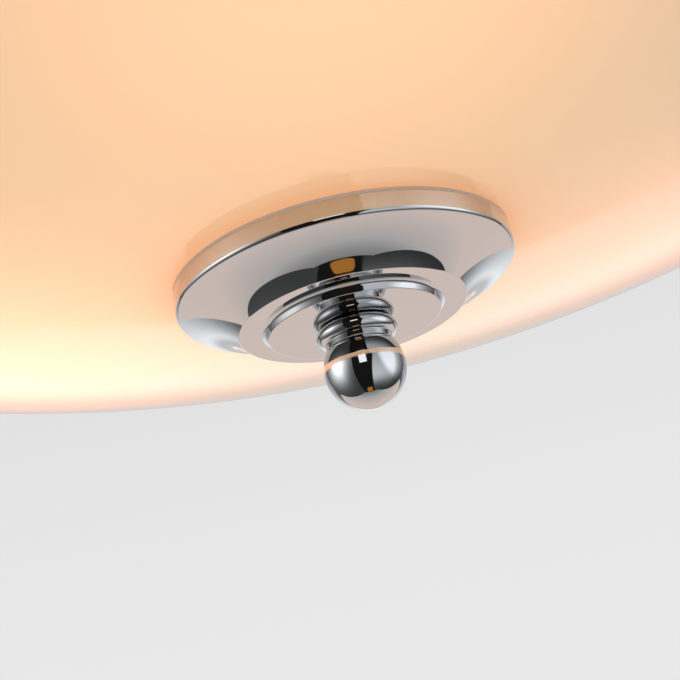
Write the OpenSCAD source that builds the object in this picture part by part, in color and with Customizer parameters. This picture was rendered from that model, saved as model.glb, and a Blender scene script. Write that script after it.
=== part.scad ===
// Ceiling light: an opal glass bowl hung below a canopy on a centre rod, with three lamps.
// Sizes are in millimetres. The origin lies on the ceiling, on the rod's axis, and +Z points up,
// so the whole light hangs below it. Turned pieces are drawn as sections of [radius, height].

/* [Ceiling bracket] */
// Metal left beyond the outer end of each slot
bracket_margin = 3; // [2:0.5:6]
// Width of the bracket's strap
bracket_w = 22; // [20:1:26]
// Thickness of the bracket's steel
bracket_t = 2; // [1.5:0.25:2.5]
// Inside radius of the bracket's bends
bracket_bend = 2; // [1:0.5:3]
// Depth of the bridge below the ceiling
bridge_depth = 14; // [13:0.5:16]
// Length of the bridge between its legs
bridge_l = 78; // [74:1:82]
// Spacing of the two slots for the ceiling screws
slot_spacing = 106; // [104:1:110]
// Length of a slot for a ceiling screw
slot_l = 14; // [10:1:15]
// Width of a slot for a ceiling screw
slot_w = 5; // [4:0.5:6]
// Spacing of the two studs that hold the canopy
stud_spacing = 60; // [56:1:62]
// Diameter of the canopy's studs
stud_d = 4; // [3:0.5:5]

/* [Canopy] */
// Diameter of the canopy at the ceiling
canopy_d = 142; // [138:1:150]
// Depth of the canopy below the ceiling
canopy_depth = 34; // [33:1:40]
// Diameter of the canopy's flat face
canopy_face_d = 80; // [78:1:86]
// Thickness of the spun metal
sheet_t = 1; // [0.8:0.1:1.2]

/* [Terminal block] */
// Spacing of the three poles
pole_pitch = 9.5; // [9:0.25:10.5]
// Length of a pole, along the leads
pole_l = 17; // [15:1:19]
// Radius of a pole's moulded barrel
pole_r = 4; // [3.8:0.1:4.4]
// Distance of the block from the rod's axis
block_offset = 21; // [21:0.5:22]

/* [Rod and stem] */
// Diameter of the threaded centre rod
rod_d = 10; // [9:0.5:11]
// Bore of the centre rod, where the leads run
rod_bore_d = 7; // [6.6:0.1:7.4]
// Size of the rod's nuts across their flats
rod_nut_af = 14; // [13:0.5:16]
// Height of the rod's nuts
rod_nut_h = 5; // [4:0.5:6]
// Diameter of the stem round the rod
stem_d = 16; // [15:0.5:20]
// Wall of the stem
stem_wall = 1; // [0.8:0.1:1.2]
// Length of the stem
stem_l = 89.5; // [60:0.5:200]

/* [Hub and arms] */
// Diameter of the hub
hub_d = 54; // [52:1:60]
// Height of the hub with its cover
hub_h = 36; // [34:1:44]
// Wall of the hub
hub_wall = 2; // [1.5:0.25:2.5]
// Thickness of the hub's floor
hub_floor = 3; // [2:0.5:4]
// Direction of the first lamp, anticlockwise from +X seen from above
first_lamp_angle = 35; // [35:1:40]
// Visible length of an arm between its nut and the lampholder
arm_gap = 1; // [0.5:0.5:6]
// Thickness of an arm's nuts
arm_nut_t = 3; // [2.5:0.5:4]

/* [Lampholders] */
// Diameter of the lampholder
holder_d = 40; // [39.5:0.5:44]
// Length of the lampholder from its back to its mouth
holder_l = 45; // [44:0.5:48]
// Wall of the moulded shells
holder_wall = 1.5; // [1.2:0.1:1.6]
// Thickness of the ceramic core
core_l = 9; // [8:0.5:10]
// Wall of the screw shell
shell_wall = 0.5; // [0.4:0.1:0.8]

/* [Bulbs] */
// Diameter of the bulb's glass
bulb_d = 60; // [55:1:64]
// Distance from the bulb's contact to the middle of its round end
bulb_reach = 75; // [72:1:80]
// Diameter of the bulb's screw cap
cap_d = 26.4; // [26:0.1:26.8]
// Length of the bulb's screw cap
cap_l = 22; // [20:1:24]
// Wall of the bulb's glass
bulb_glass_t = 1; // [0.8:0.1:1.2]

/* [Glass bowl] */
// Diameter of the bowl at its widest
bowl_d = 500; // [480:5:520]
// Radius of the bowl's shallow bottom
bowl_curve_r = 590; // [560:5:640]
// Radius of the shoulder that turns the bottom up into the rim
shoulder_r = 45; // [40:1:52]
// Turn of the shoulder above the bowl's widest level, in degrees
rim_turn = 32; // [20:1:40]
// Thickness of the glass
glass_t = 4.5; // [4:0.25:5.5]
// Diameter of the hole through the glass
bowl_hole_d = 14; // [13.6:0.1:16]
// Depth of the bowl's lowest point below the lamps
bowl_below_lamps = 70; // [64:1:80]
// Diameter of the plate that clamps the glass from inside
seat_plate_d = 72; // [66:1:80]
// Thickness of the clamping plate
seat_plate_t = 2; // [1.5:0.25:3]
// Thickness of the rubber rings on both sides of the glass
gasket_t = 1.2; // [1:0.1:1.5]

/* [Rosette] */
// Diameter of the rosette
rosette_d = 100.4; // [96:0.4:110]
// Depth of the rosette from its top edge to its flat face
rosette_depth = 17.6; // [17:0.1:22]
// Radius of the rosette's lower edge
rosette_edge_r = 1.3; // [1.25:0.05:2]
// Diameter of the flat mirror face
rosette_face_d = 49.6; // [46:0.2:52]
// Width of the ledge below the hollow
outer_ledge_w = 4.2; // [3:0.1:5]
// Width of the ledge beside the face
inner_ledge_w = 2.2; // [1.5:0.1:3]
// Height of the step between the two ledges
ledge_step = 0.9; // [0.6:0.05:0.95]
// Width and height of the bevel round the face
bevel = 2.4; // [1.5:0.1:3]
// Slope of the hollow at its outer end, in degrees
hollow_from = 11; // [8:1:14]
// Slope of the hollow at its inner end, in degrees
hollow_to = 46; // [40:1:50]

/* [Finial] */
// Diameter of the finial's ball
ball_d = 24.4; // [22:0.1:27]
// Length of the ball's pointed lower half
ball_tip = 13.4; // [12.4:0.1:15]
// Diameter of the bead above the ball
bead_d = 23.8; // [22:0.1:26]
// Height of the bead
bead_h = 4.6; // [4:0.1:5.5]
// Height of the collar below the bead
collar_h = 1; // [0.6:0.1:2]
// Diameter of the collar
collar_d = 19.6; // [18:0.1:21]
// Length of rod that the finial screws onto
thread_l = 13; // [11:0.5:14]

/* [Fits] */
// Radial clearance of the rod in the finial's thread
thread_fit = 0.05; // [0.02:0.01:0.1]
// Radial clearance of pieces that slide over the rod
rod_fit = 0.3; // [0.2:0.05:0.4]
// Radial clearance of a bulb's cap in the screw shell
cap_fit = 0.1; // [0.05:0.05:0.2]
// Radial clearance of a screw in its hole
screw_fit = 0.15; // [0.1:0.05:0.25]
// Gap left between pieces that only come close
gap = 0.3; // [0.2:0.05:0.4]

/* [Hidden] */
$fn = 96;

// Length of the bracket over its two feet
bracket_l = slot_spacing + slot_l + 2 * bracket_margin;

// Levels from the ceiling down
bridge_top = -bridge_depth;
bridge_bottom = bridge_top - bracket_t;
rod_above_nut = 2;
rod_top = bridge_top + rod_nut_h + rod_above_nut;
washer_t = 1.5;
stem_top = bridge_bottom - rod_nut_h - washer_t;
hub_top = stem_top - stem_l;
lamp_z = hub_top - hub_h / 2;
hub_bottom = hub_top - hub_h;
bowl_pole = lamp_z - bowl_below_lamps;

// Radii used by several pieces
rod_r = rod_d / 2;
rod_bore_r = rod_bore_d / 2;
rod_hole_r = rod_r + rod_fit;
rod_nut_r = rod_nut_af / 2 / cos(30);
hub_r = hub_d / 2;
hub_in = hub_r - hub_wall;
cover_t = 2;
cover_lip = 3;

// Centres of the bowl's two arcs, and where its bottom meets its shoulder
bowl_cz = bowl_pole + bowl_curve_r;
shoulder_cr = bowl_d / 2 - shoulder_r;
bottom_span = asin(shoulder_cr / (bowl_curve_r - shoulder_r));
shoulder_cz = bowl_cz - (bowl_curve_r - shoulder_r) * cos(bottom_span);
function glass_under(r) = bowl_cz - sqrt(bowl_curve_r * bowl_curve_r - r * r);
function glass_over(r) = bowl_cz - sqrt(pow(bowl_curve_r - glass_t, 2) - r * r);

// Levels of the bowl's clamping pieces
rosette_top = glass_under(rosette_d / 2 - sheet_t) - gasket_t;
face_z = rosette_top - rosette_depth;
seal_slack = 0.03;
gasket_ring_w = 10;
gasket_r = seat_plate_d / 2 - 2;
seat_z = glass_over(gasket_r) + gasket_t;
stop_z = seat_z + seat_plate_t;
rod_bottom = face_z - thread_l;

// Where the pieces of a lampholder lie along its arm, from the hub's axis
arm_inside_hub = 5;
boss_l = 7;
boss_wall = 3.5;
dome_l = 11;
holder_cap_l = 19;
spigot_l = 4;
core_step = 2;
contact_rise = 2.3;
arm_in = hub_in - arm_inside_hub;
holder_back = hub_r + arm_nut_t + arm_gap;
boss_end = holder_back + boss_l;
arm_out = boss_end - 1;
cap_end = holder_back + holder_cap_l;
core_back = cap_end - core_l + core_step;
core_face = core_back + core_l;
holder_mouth = holder_back + holder_l;
bulb_foot = core_face + contact_rise + gap;
bulb_middle = bulb_foot + bulb_reach;
holder_r = holder_d / 2;
skirt_in = holder_r - holder_wall;
core_r = skirt_in - gap / 2 - holder_wall - gap / 2;
cap_r = cap_d / 2;
cap_lip_r = cap_r - 2.8;
shell_in = cap_r + cap_fit;
shell_r = shell_in + shell_wall;

// Electrical leads
lead_r = 0.95;
lead_bend = 3.2;
lead_steps = 4;
lead_side = 1.6;
post_side = 8;
ring_r = 17;
ring_h = 8;
ring_top = hub_bottom + hub_floor + ring_h;
ring_pin_r = 13;
ring_pin_side = 3.5;
block_base_t = 2;
block_z = bridge_bottom - block_base_t - pole_r;
earth_angle = 95;
earth_r = 20.5;

// Part of a ring between two directions, which stay under 180 degrees apart
module ring_sector(r_in, r_out, from, to) {
    middle = (from + to) / 2;
    reach = 2 * r_out / cos((to - from) / 4);
    intersection() {
        difference() {
            circle(r = r_out);
            circle(r = r_in);
        }
        polygon([
            [0, 0],
            reach * [cos(from), sin(from)],
            reach * [cos((from + middle) / 2), sin((from + middle) / 2)],
            reach * [cos(middle), sin(middle)],
            reach * [cos((to + middle) / 2), sin((to + middle) / 2)],
            reach * [cos(to), sin(to)]
        ]);
    }
}

// Points along an arc, with its first point left out where first is 1
function arc(c, r, from, to, steps, first = 0) = [
    for (k = [first:steps])
        let (a = from + (to - from) * k / steps)
        c + r * [cos(a), sin(a)]
];

// Rectangle of a turned section between two radii and two heights
module band(r_in, r_out, low, high) {
    translate([r_in, low]) square([r_out - r_in, high - low]);
}

module hex_nut(af, h, hole_r) {
    difference() {
        cylinder(r = af / 2 / cos(30), h = h, $fn = 6);
        translate([0, 0, -1]) cylinder(r = hole_r, h = h + 2);
    }
}

module ring(r_in, r_out, low, high) {
    rotate_extrude() band(r_in, r_out, low, high);
}

// Places what is drawn along +Z on the axis of arm i, with the hub's axis at height 0
module on_arm(i) {
    rotate([0, 0, first_lamp_angle + 120 * (i - 1)])
        translate([0, 0, lamp_z])
            rotate([0, 90, 0])
                children();
}

// Section of the spun pans: a wall, a rounded edge, a hollow, two ledges, a bevel and a flat face
module stepped_pan(rim_r, depth, edge_r, face_r, hole_r) {
    step_r = face_r + bevel + inner_ledge_w;
    corner_r = step_r + outer_ledge_w;
    corner_z = -depth + bevel + ledge_step;
    hollow_r = (rim_r - edge_r * (1 - sin(hollow_from)) - corner_r) / (sin(hollow_to) - sin(hollow_from));
    hollow_c = [corner_r + hollow_r * sin(hollow_to), corner_z - hollow_r * cos(hollow_to)];
    edge_c = hollow_c + (hollow_r + edge_r) * [-sin(hollow_from), cos(hollow_from)];
    back_r = hollow_r + sheet_t;
    back_turn = 180 - asin((corner_z + sheet_t - hollow_c[1]) / back_r);
    slant = 0.4 * sheet_t;
    polygon(concat(
        [[rim_r, 0]],
        arc(edge_c, edge_r, 0, hollow_from - 90, 8),
        arc(hollow_c, hollow_r, 90 + hollow_from, 90 + hollow_to, 16, 1),
        [
            [step_r, corner_z],
            [step_r, corner_z - ledge_step],
            [face_r + bevel, -depth + bevel],
            [face_r, -depth],
            [hole_r, -depth],
            [hole_r, -depth + sheet_t],
            [face_r - slant, -depth + sheet_t],
            [face_r + bevel - slant, -depth + bevel + sheet_t],
            [step_r - sheet_t, corner_z - ledge_step + sheet_t],
            [step_r - sheet_t, corner_z + sheet_t]
        ],
        arc(hollow_c, back_r, back_turn, 90 + hollow_from, 16),
        arc(edge_c, edge_r - sheet_t, hollow_from - 90, 0, 8, 1),
        [[rim_r - sheet_t, 0]]
    ));
}

// Section of half the bracket: foot, leg and bridge, with true bends between them
module bracket_half() {
    leg_x = bridge_l / 2;
    outer = bracket_bend + bracket_t;
    translate([leg_x + bracket_bend, -bracket_t])
        square([bracket_l / 2 - leg_x - bracket_bend, bracket_t]);
    translate([leg_x + bracket_bend, -outer]) ring_sector(bracket_bend, outer, 90, 180);
    translate([leg_x - bracket_t, bridge_top + bracket_bend])
        square([bracket_t, -outer - bridge_top - bracket_bend]);
    translate([leg_x - outer, bridge_top + bracket_bend]) ring_sector(bracket_bend, outer, -90, 0);
    translate([0, bridge_bottom]) square([leg_x - outer, bracket_t]);
}

// The bracket's tab, which carries the terminal block and the earth screw
tab_margin = 2.5;
tab_w = 3 * pole_pitch + 2 * tab_margin;
tab_end = block_offset + pole_l + 1;
wire_hole_l = 12;
wire_hole_w = 6;
wire_hole_y = bracket_w / 2 + wire_hole_w / 2 + 2;
peg_r = 1.4;
peg_y = block_offset + pole_l / 2;
earth_screw_r = 1.75;
earth_head_r = 3.3;
earth_head_h = 2.2;
earth_screw_x = tab_w / 2 - earth_head_r - 1.2;

module mounting_bracket() {
    color("silver") difference() {
        union() {
            translate([0, bracket_w / 2, 0]) rotate([90, 0, 0]) linear_extrude(bracket_w) {
                bracket_half();
                mirror([1, 0]) bracket_half();
            }
            translate([-tab_w / 2, -tab_end, bridge_bottom])
                cube([tab_w, tab_end - bracket_w / 2 + 1, bracket_t]);
        }
        translate([0, 0, bridge_bottom - 1]) cylinder(r = rod_r + screw_fit, h = bracket_t + 2);
        for (side = [-1, 1]) {
            translate([side * stud_spacing / 2, 0, bridge_bottom - 1])
                cylinder(r = stud_d / 2 + screw_fit, h = bracket_t + 2);
            translate([side * slot_spacing / 2, 0, -bracket_t - 1]) slot(slot_l, slot_w, bracket_t + 2);
            translate([side * pole_pitch / 2, -peg_y, bridge_bottom - 1])
                cylinder(r = peg_r + screw_fit, h = bracket_t + 2);
        }
        translate([0, -wire_hole_y, bridge_bottom - 1]) slot(wire_hole_l, wire_hole_w, bracket_t + 2);
        translate([earth_screw_x, -wire_hole_y, bridge_bottom - 1])
            cylinder(r = earth_screw_r + screw_fit, h = bracket_t + 2);
    }
}

// Slot with round ends along X
module slot(length, width, h) {
    for (side = [-1, 1]) translate([side * (length - width) / 2, 0, 0]) cylinder(d = width, h = h);
    translate([-(length - width) / 2, -width / 2, 0]) cube([length - width, width, h]);
}

// The canopy's studs are screws, held by their heads on the bridge, that reach through the canopy
stud_below = 5;
stud_head_r = 3.8;
stud_head_h = 2.4;

module canopy_studs() {
    color("gainsboro") for (side = [-1, 1]) translate([side * stud_spacing / 2, 0, 0]) rotate_extrude() {
        band(0, stud_d / 2, -canopy_depth - stud_below, bridge_top);
        polygon([
            [0, bridge_top],
            [stud_head_r, bridge_top],
            [stud_head_r, bridge_top + stud_head_h / 2],
            [stud_head_r - stud_head_h / 2, bridge_top + stud_head_h],
            [0, bridge_top + stud_head_h]
        ]);
    }
}

module canopy() {
    color("lightgray") difference() {
        rotate_extrude() stepped_pan(canopy_d / 2, canopy_depth, 2 * sheet_t, canopy_face_d / 2, stem_d / 2 + 0.5);
        for (side = [-1, 1]) translate([side * stud_spacing / 2, 0, -canopy_depth - 1])
            cylinder(r = stud_d / 2 + screw_fit, h = sheet_t + 2);
    }
}

// Domed nuts on the canopy's studs, bored blind a little deeper than the studs reach
cap_nut_af = stud_d + 3.2;
cap_nut_hex_h = 3.4;
cap_nut_dome_r = stud_d / 2 + 1.4;
cap_nut_bore = stud_below + 0.5;

module cap_nuts() {
    color("gainsboro") for (side = [-1, 1]) {
        translate([side * stud_spacing / 2, 0, -canopy_depth]) difference() {
            union() {
                translate([0, 0, -cap_nut_hex_h])
                    cylinder(r = cap_nut_af / 2 / cos(30), h = cap_nut_hex_h, $fn = 6);
                translate([0, 0, -cap_nut_hex_h]) rotate_extrude() intersection() {
                    circle(r = cap_nut_dome_r);
                    translate([0, -stud_d]) square([stud_d, stud_d]);
                }
            }
            translate([0, 0, -cap_nut_bore]) cylinder(r = stud_d / 2 + thread_fit, h = cap_nut_bore + 1);
        }
    }
}

// Poles of the terminal block: a brass clamp in each, with a screw near each end in a moulded tower
pole_wall = 1.2;
clamp_r = pole_r - pole_wall;
clamp_bore_r = 1.6;
clamp_screw_r = 1.4;
clamp_screw_y = pole_l / 4;
tower_r = clamp_screw_r + pole_wall;
tower_h = 1.6;
tower_end = block_z - pole_r - tower_h;

// The two screw places of each pole, seen from the block's middle
module at_clamp_screws() {
    for (pole = [-1:1]) for (side = [-1, 1])
        translate([pole * pole_pitch, -peg_y + side * clamp_screw_y, 0]) children();
}

module along_poles(r, length) {
    for (pole = [-1:1]) translate([pole * pole_pitch, -peg_y + length / 2, block_z])
        rotate([90, 0, 0]) cylinder(r = r, h = length);
}

module terminal_block() {
    color("white") difference() {
        union() {
            translate([-tab_w / 2 + 1, -peg_y - pole_l / 2, bridge_bottom - block_base_t - pole_r / 2])
                cube([tab_w - 2, pole_l, block_base_t + pole_r / 2]);
            along_poles(pole_r, pole_l);
            at_clamp_screws() translate([0, 0, tower_end]) cylinder(r = tower_r, h = block_z - tower_end);
            for (side = [-1, 1]) translate([side * pole_pitch / 2, -peg_y, bridge_bottom - 1])
                cylinder(r = peg_r, h = bracket_t + 2);
        }
        along_poles(clamp_r, pole_l + 2);
        at_clamp_screws() translate([0, 0, tower_end - 1])
            cylinder(r = clamp_screw_r + screw_fit, h = block_z - tower_end + 1);
    }
}

module terminal_clamps() {
    color("goldenrod") difference() {
        along_poles(clamp_r, pole_l - 2);
        along_poles(clamp_bore_r, pole_l);
        at_clamp_screws() translate([0, 0, tower_end - 1])
            cylinder(r = clamp_screw_r + screw_fit, h = block_z - tower_end + 1);
    }
}

// The clamp screws sit a little inside their towers and end on the leads
module terminal_screws() {
    sunk = 0.6;
    slot_cut = 0.6;
    screw_end = block_z - lead_r - seal_slack;
    color("silver") at_clamp_screws() difference() {
        translate([0, 0, tower_end + sunk]) cylinder(r = clamp_screw_r, h = screw_end - tower_end - sunk);
        translate([-clamp_screw_r, -slot_cut / 2, tower_end])
            cube([2 * clamp_screw_r, slot_cut, sunk + clamp_screw_r / 2]);
    }
}

// Pan-head screw that enters upwards from the origin, with a cross slot in its head
module pan_screw(r, length, head_r, head_h) {
    crown_r = 1.6 * head_r;
    cross_l = 1.2 * head_r;
    cross_w = 0.7;
    cross_depth = 0.8;
    difference() {
        union() {
            cylinder(r = r, h = length);
            translate([0, 0, -head_h]) rotate_extrude() intersection() {
                band(0, head_r, 0, head_h);
                translate([0, crown_r]) circle(r = crown_r);
            }
        }
        for (turn = [0, 90]) rotate([0, 0, turn])
            translate([-cross_l / 2, -cross_w / 2, -head_h - 1]) cube([cross_l, cross_w, cross_depth + 1]);
    }
}

module earth_screw() {
    color("limegreen") translate([earth_screw_x, -wire_hole_y, bridge_bottom])
        pan_screw(earth_screw_r, bracket_t + 3, earth_head_r, earth_head_h);
}

// Window in the rod, through which the feed leads come out inside the hub
window_h = 14;
window_top = lamp_z + window_h;

module centre_rod() {
    color("darkgray") difference() {
        ring(rod_bore_r, rod_r, rod_bottom, rod_top);
        translate([-rod_bore_r, 0, window_top - window_h]) cube([2 * rod_bore_r, rod_d, window_h]);
    }
}

module rod_top_nut() {
    color("silver") translate([0, 0, bridge_top]) hex_nut(rod_nut_af, rod_nut_h, rod_r + thread_fit);
}

module rod_lower_nut() {
    color("silver") translate([0, 0, bridge_bottom - rod_nut_h])
        hex_nut(rod_nut_af, rod_nut_h, rod_r + thread_fit);
}

module stem_washer() {
    color("silver") ring(rod_r + screw_fit, stem_d / 2 + 1, stem_top, stem_top + washer_t);
}

module stem() {
    color("lightgray") ring(stem_d / 2 - stem_wall, stem_d / 2, hub_top, stem_top);
}

// The hub's cover sits in the stem with a spigot and in the hub with a lip
spigot_h = 3;
cover_edge_h = 0.6;
cover_slope_w = 1.4;

module hub_cover() {
    color("lightgray") rotate_extrude() {
        polygon([
            [rod_hole_r, hub_top - cover_t],
            [hub_r, hub_top - cover_t],
            [hub_r, hub_top - cover_t + cover_edge_h],
            [hub_r - cover_slope_w, hub_top],
            [rod_hole_r, hub_top]
        ]);
        band(rod_hole_r, stem_d / 2 - stem_wall - gap, hub_top - cover_t, hub_top + spigot_h);
        band(hub_in - gap - hub_wall, hub_in - gap, hub_top - cover_t - cover_lip, hub_top - cover_t);
    }
}

hub_foot_r = 8;
hub_earth_r = 1.25;
hub_earth_head_r = 2.2;
hub_earth_head_h = 1.8;

module hub_body() {
    color("lightgray") difference() {
        rotate_extrude() {
            band(hub_in, hub_r, hub_bottom + hub_foot_r, hub_top - cover_t);
            translate([hub_r - hub_foot_r, hub_bottom + hub_foot_r]) intersection() {
                circle(r = hub_foot_r);
                difference() {
                    translate([0, -hub_foot_r]) square([hub_foot_r, hub_foot_r]);
                    translate([0, -hub_foot_r + hub_floor]) square([hub_foot_r - hub_wall, hub_foot_r]);
                }
            }
            band(rod_hole_r, hub_r - hub_foot_r, hub_bottom, hub_bottom + hub_floor);
        }
        for (i = [1:3]) on_arm(i) translate([0, 0, hub_in - hub_wall])
            cylinder(r = rod_r + screw_fit, h = 3 * hub_wall);
        rotate([0, 0, earth_angle]) translate([earth_r - 1, 0, hub_bottom + hub_floor / 2])
            cylinder(r = hub_earth_r + screw_fit, h = hub_floor);
    }
}

// Places of the lead holes in the connector ring, as [x, y]
function turned(angle, out, side) = [
    out * cos(angle) - side * sin(angle),
    out * sin(angle) + side * cos(angle)
];
function lamp_pin(i, side) = turned(first_lamp_angle + 120 * (i - 1), ring_pin_r, side * ring_pin_side);
function feed_pin(side) = [side * 5, 11];
ring_pins = concat(
    [for (i = [1:3]) for (side = [-1, 1]) lamp_pin(i, side)],
    [for (side = [-1, 1]) feed_pin(side)]
);
pin_depth = 4;

module connector_ring() {
    color("ivory") difference() {
        rotate_extrude() {
            band(rod_hole_r + 1, ring_r, hub_bottom + hub_floor, ring_top - 1);
            band(rod_hole_r + 1, ring_r - 1, ring_top - 1, ring_top);
        }
        for (pin = ring_pins) translate([pin[0], pin[1], ring_top - pin_depth])
            cylinder(r = lead_r + screw_fit, h = pin_depth + 1);
    }
}

module hub_earth_screw() {
    color("limegreen") rotate([0, 0, earth_angle]) translate([earth_r - 1, 0, hub_bottom + hub_floor])
        mirror([0, 0, 1]) pan_screw(hub_earth_r, hub_floor / 2, hub_earth_head_r, hub_earth_head_h);
}

module hub_washer() {
    color("silver") ring(rod_r + screw_fit, rod_nut_r + 1.5, hub_bottom - washer_t, hub_bottom);
}

module hub_nut() {
    color("silver") translate([0, 0, hub_bottom - washer_t - rod_nut_h])
        hex_nut(rod_nut_af, rod_nut_h, rod_r + thread_fit);
}

module arm(i) {
    color("darkgray") on_arm(i) ring(rod_bore_r, rod_r, arm_in, arm_out);
}

module arm_nuts() {
    inner_end = sqrt(hub_in * hub_in - rod_nut_r * rod_nut_r) - 0.02;
    color("silver") for (i = [1:3]) on_arm(i) {
        translate([0, 0, inner_end - arm_nut_t]) hex_nut(rod_nut_af, arm_nut_t, rod_r + thread_fit);
        translate([0, 0, hub_r]) hex_nut(rod_nut_af, arm_nut_t, rod_r + thread_fit);
    }
}

module holder_cap(i) {
    boss_r = rod_r + boss_wall;
    thread_r = rod_r + thread_fit;
    dome_c = [holder_r - dome_l, holder_back + dome_l];
    spigot_z = cap_end - spigot_l;
    thick_z = spigot_z - spigot_l / 2;
    color("white") on_arm(i) rotate_extrude() polygon(concat(
        [[thread_r, boss_end], [thread_r, holder_back]],
        arc(dome_c, dome_l, -90, 0, 16),
        [
            [holder_r, spigot_z],
            [skirt_in - gap / 2, spigot_z],
            [skirt_in - gap / 2, cap_end],
            [core_r + gap / 2, cap_end],
            [core_r + gap / 2, thick_z],
            [skirt_in, thick_z]
        ],
        arc(dome_c, dome_l - holder_wall, 0, -90, 16),
        [[boss_r, holder_back + holder_wall], [boss_r, boss_end]]
    ));
}

module holder_skirt(i) {
    grip_r = 1.2;
    grip_pitch = 6;
    rib_in = shell_r + holder_wall;
    rib_z = core_face + gap;
    color("white") on_arm(i) rotate_extrude() difference() {
        union() {
            band(skirt_in, holder_r, cap_end - spigot_l, holder_mouth);
            band(rib_in, skirt_in, rib_z, rib_z + holder_wall);
            band(rib_in, skirt_in, holder_mouth - holder_wall, holder_mouth);
        }
        for (groove = [1:3]) translate([holder_r + grip_r / 2, cap_end + (groove + 0.3) * grip_pitch])
            circle(r = grip_r);
    }
}

module holder_core(i) {
    color("snow") on_arm(i) difference() {
        rotate_extrude() {
            band(0, core_r, core_back, core_face);
            band(0, skirt_in - gap, cap_end, core_face);
        }
        for (side = [-1, 1]) translate([0, side * post_side, core_back - 1])
            cylinder(r = lead_r + screw_fit, h = pin_depth + 1);
    }
}

module screw_shell(i) {
    shell_end = holder_mouth - 3;
    color("goldenrod") on_arm(i) rotate_extrude() {
        band(shell_in, shell_r, core_face, shell_end);
        band(shell_in - 2, shell_in, core_face, core_face + shell_wall);
        polygon([
            [shell_in, shell_end],
            [shell_r, shell_end],
            [shell_r + 0.8, shell_end + 1.2],
            [shell_in + 0.8, shell_end + 1.2]
        ]);
    }
}

module centre_contacts() {
    strip_w = 5;
    strip_t = 0.4;
    color("goldenrod") for (i = [1:3]) on_arm(i) translate([strip_w / 2, 0, core_face])
        rotate([0, -90, 0]) linear_extrude(strip_w) polygon([
            [0, -9],
            [strip_t, -9],
            [strip_t, -4],
            [contact_rise, -1],
            [contact_rise, 3],
            [contact_rise - strip_t, 3],
            [contact_rise - strip_t, -0.8],
            [0, -3.9]
        ]);
}

base_l = 5;

module bulb_base(i) {
    contact_r = 4.6;
    contact_h = 0.6;
    color("black") on_arm(i) rotate_extrude() {
        band(0, contact_r, bulb_foot, bulb_foot + 2 * contact_h);
        polygon([
            [0, bulb_foot + contact_h],
            [contact_r + contact_h, bulb_foot + contact_h],
            [cap_lip_r - seal_slack, bulb_foot + base_l],
            [0, bulb_foot + base_l]
        ]);
    }
}

module bulb_cap(i) {
    wall = shell_wall;
    front = bulb_foot + base_l;
    shoulder = 1.6;
    color("silver") on_arm(i) rotate_extrude() {
        polygon([
            [cap_lip_r + wall / 2, front - 2 * wall],
            [cap_r, front + shoulder],
            [cap_r, front + cap_l],
            [cap_r - wall, front + cap_l],
            [cap_r - wall, front + shoulder + wall / 2],
            [cap_lip_r, front]
        ]);
    }
}

// Outline of the bulb's glass: a round end, drawn into the neck by an arc tangent to both
module bulb_outline(r, neck_r, flare_r) {
    reach = r + flare_r;
    rise = sqrt(reach * reach - pow(neck_r + flare_r, 2));
    flare_c = [neck_r + flare_r, bulb_middle - rise];
    touch = [r * flare_c[0] / reach, bulb_middle - r * rise / reach];
    intersection() {
        translate([0, bulb_middle]) circle(r = r);
        translate([0, bulb_middle - r - 1]) square([r + 1, 2 * r + 2]);
    }
    difference() {
        polygon([
            [0, bulb_foot + base_l + cap_l - 3],
            [neck_r, bulb_foot + base_l + cap_l - 3],
            [neck_r, flare_c[1]],
            touch,
            [0, touch[1]]
        ]);
        translate(flare_c) circle(r = flare_r);
    }
}

module bulb_glass(i) {
    neck_r = cap_r - shell_wall - 0.1;
    color("white") on_arm(i) rotate_extrude() difference() {
        bulb_outline(bulb_d / 2, neck_r, 40);
        bulb_outline(bulb_d / 2 - bulb_glass_t, neck_r - bulb_glass_t, 40 + bulb_glass_t);
    }
}

module bowl() {
    bottom_c = [0, bowl_cz];
    shoulder_c = [shoulder_cr, shoulder_cz];
    hole_r = bowl_hole_d / 2;
    inner_curve_r = bowl_curve_r - glass_t;
    joint = bottom_span - 90;
    rim_c = shoulder_c + (shoulder_r - glass_t / 2) * [cos(rim_turn), sin(rim_turn)];
    color("peachpuff") rotate_extrude() polygon(concat(
        arc(bottom_c, bowl_curve_r, asin(hole_r / bowl_curve_r) - 90, joint, 24),
        arc(shoulder_c, shoulder_r, joint, rim_turn, 20, 1),
        arc(rim_c, glass_t / 2, rim_turn, rim_turn + 180, 8, 1),
        arc(shoulder_c, shoulder_r - glass_t, rim_turn, joint, 20, 1),
        arc(bottom_c, inner_curve_r, joint, asin(hole_r / inner_curve_r) - 90, 24, 1)
    ));
}

module bowl_bush() {
    flange_r = bowl_hole_d / 2 + 5;
    flange_t = 1.1;
    flange_z = glass_over(flange_r) + seal_slack;
    color("white") rotate_extrude() {
        band(rod_hole_r, bowl_hole_d / 2 - gap, bowl_pole, flange_z + flange_t);
        band(rod_hole_r, flange_r, flange_z, flange_z + flange_t);
    }
}

module bowl_gasket() {
    gasket_in = gasket_r - gasket_ring_w;
    color("dimgray") rotate_extrude() polygon([
        [gasket_in, glass_over(gasket_in) + seal_slack],
        [gasket_r, glass_over(gasket_r) + seal_slack],
        [gasket_r, seat_z],
        [gasket_in, seat_z]
    ]);
}

module seat_plate() {
    color("silver") ring(rod_hole_r, seat_plate_d / 2, seat_z, stop_z);
}

module stop_nut() {
    color("silver") translate([0, 0, stop_z]) hex_nut(rod_nut_af, rod_nut_h, rod_r + thread_fit);
}

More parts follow.
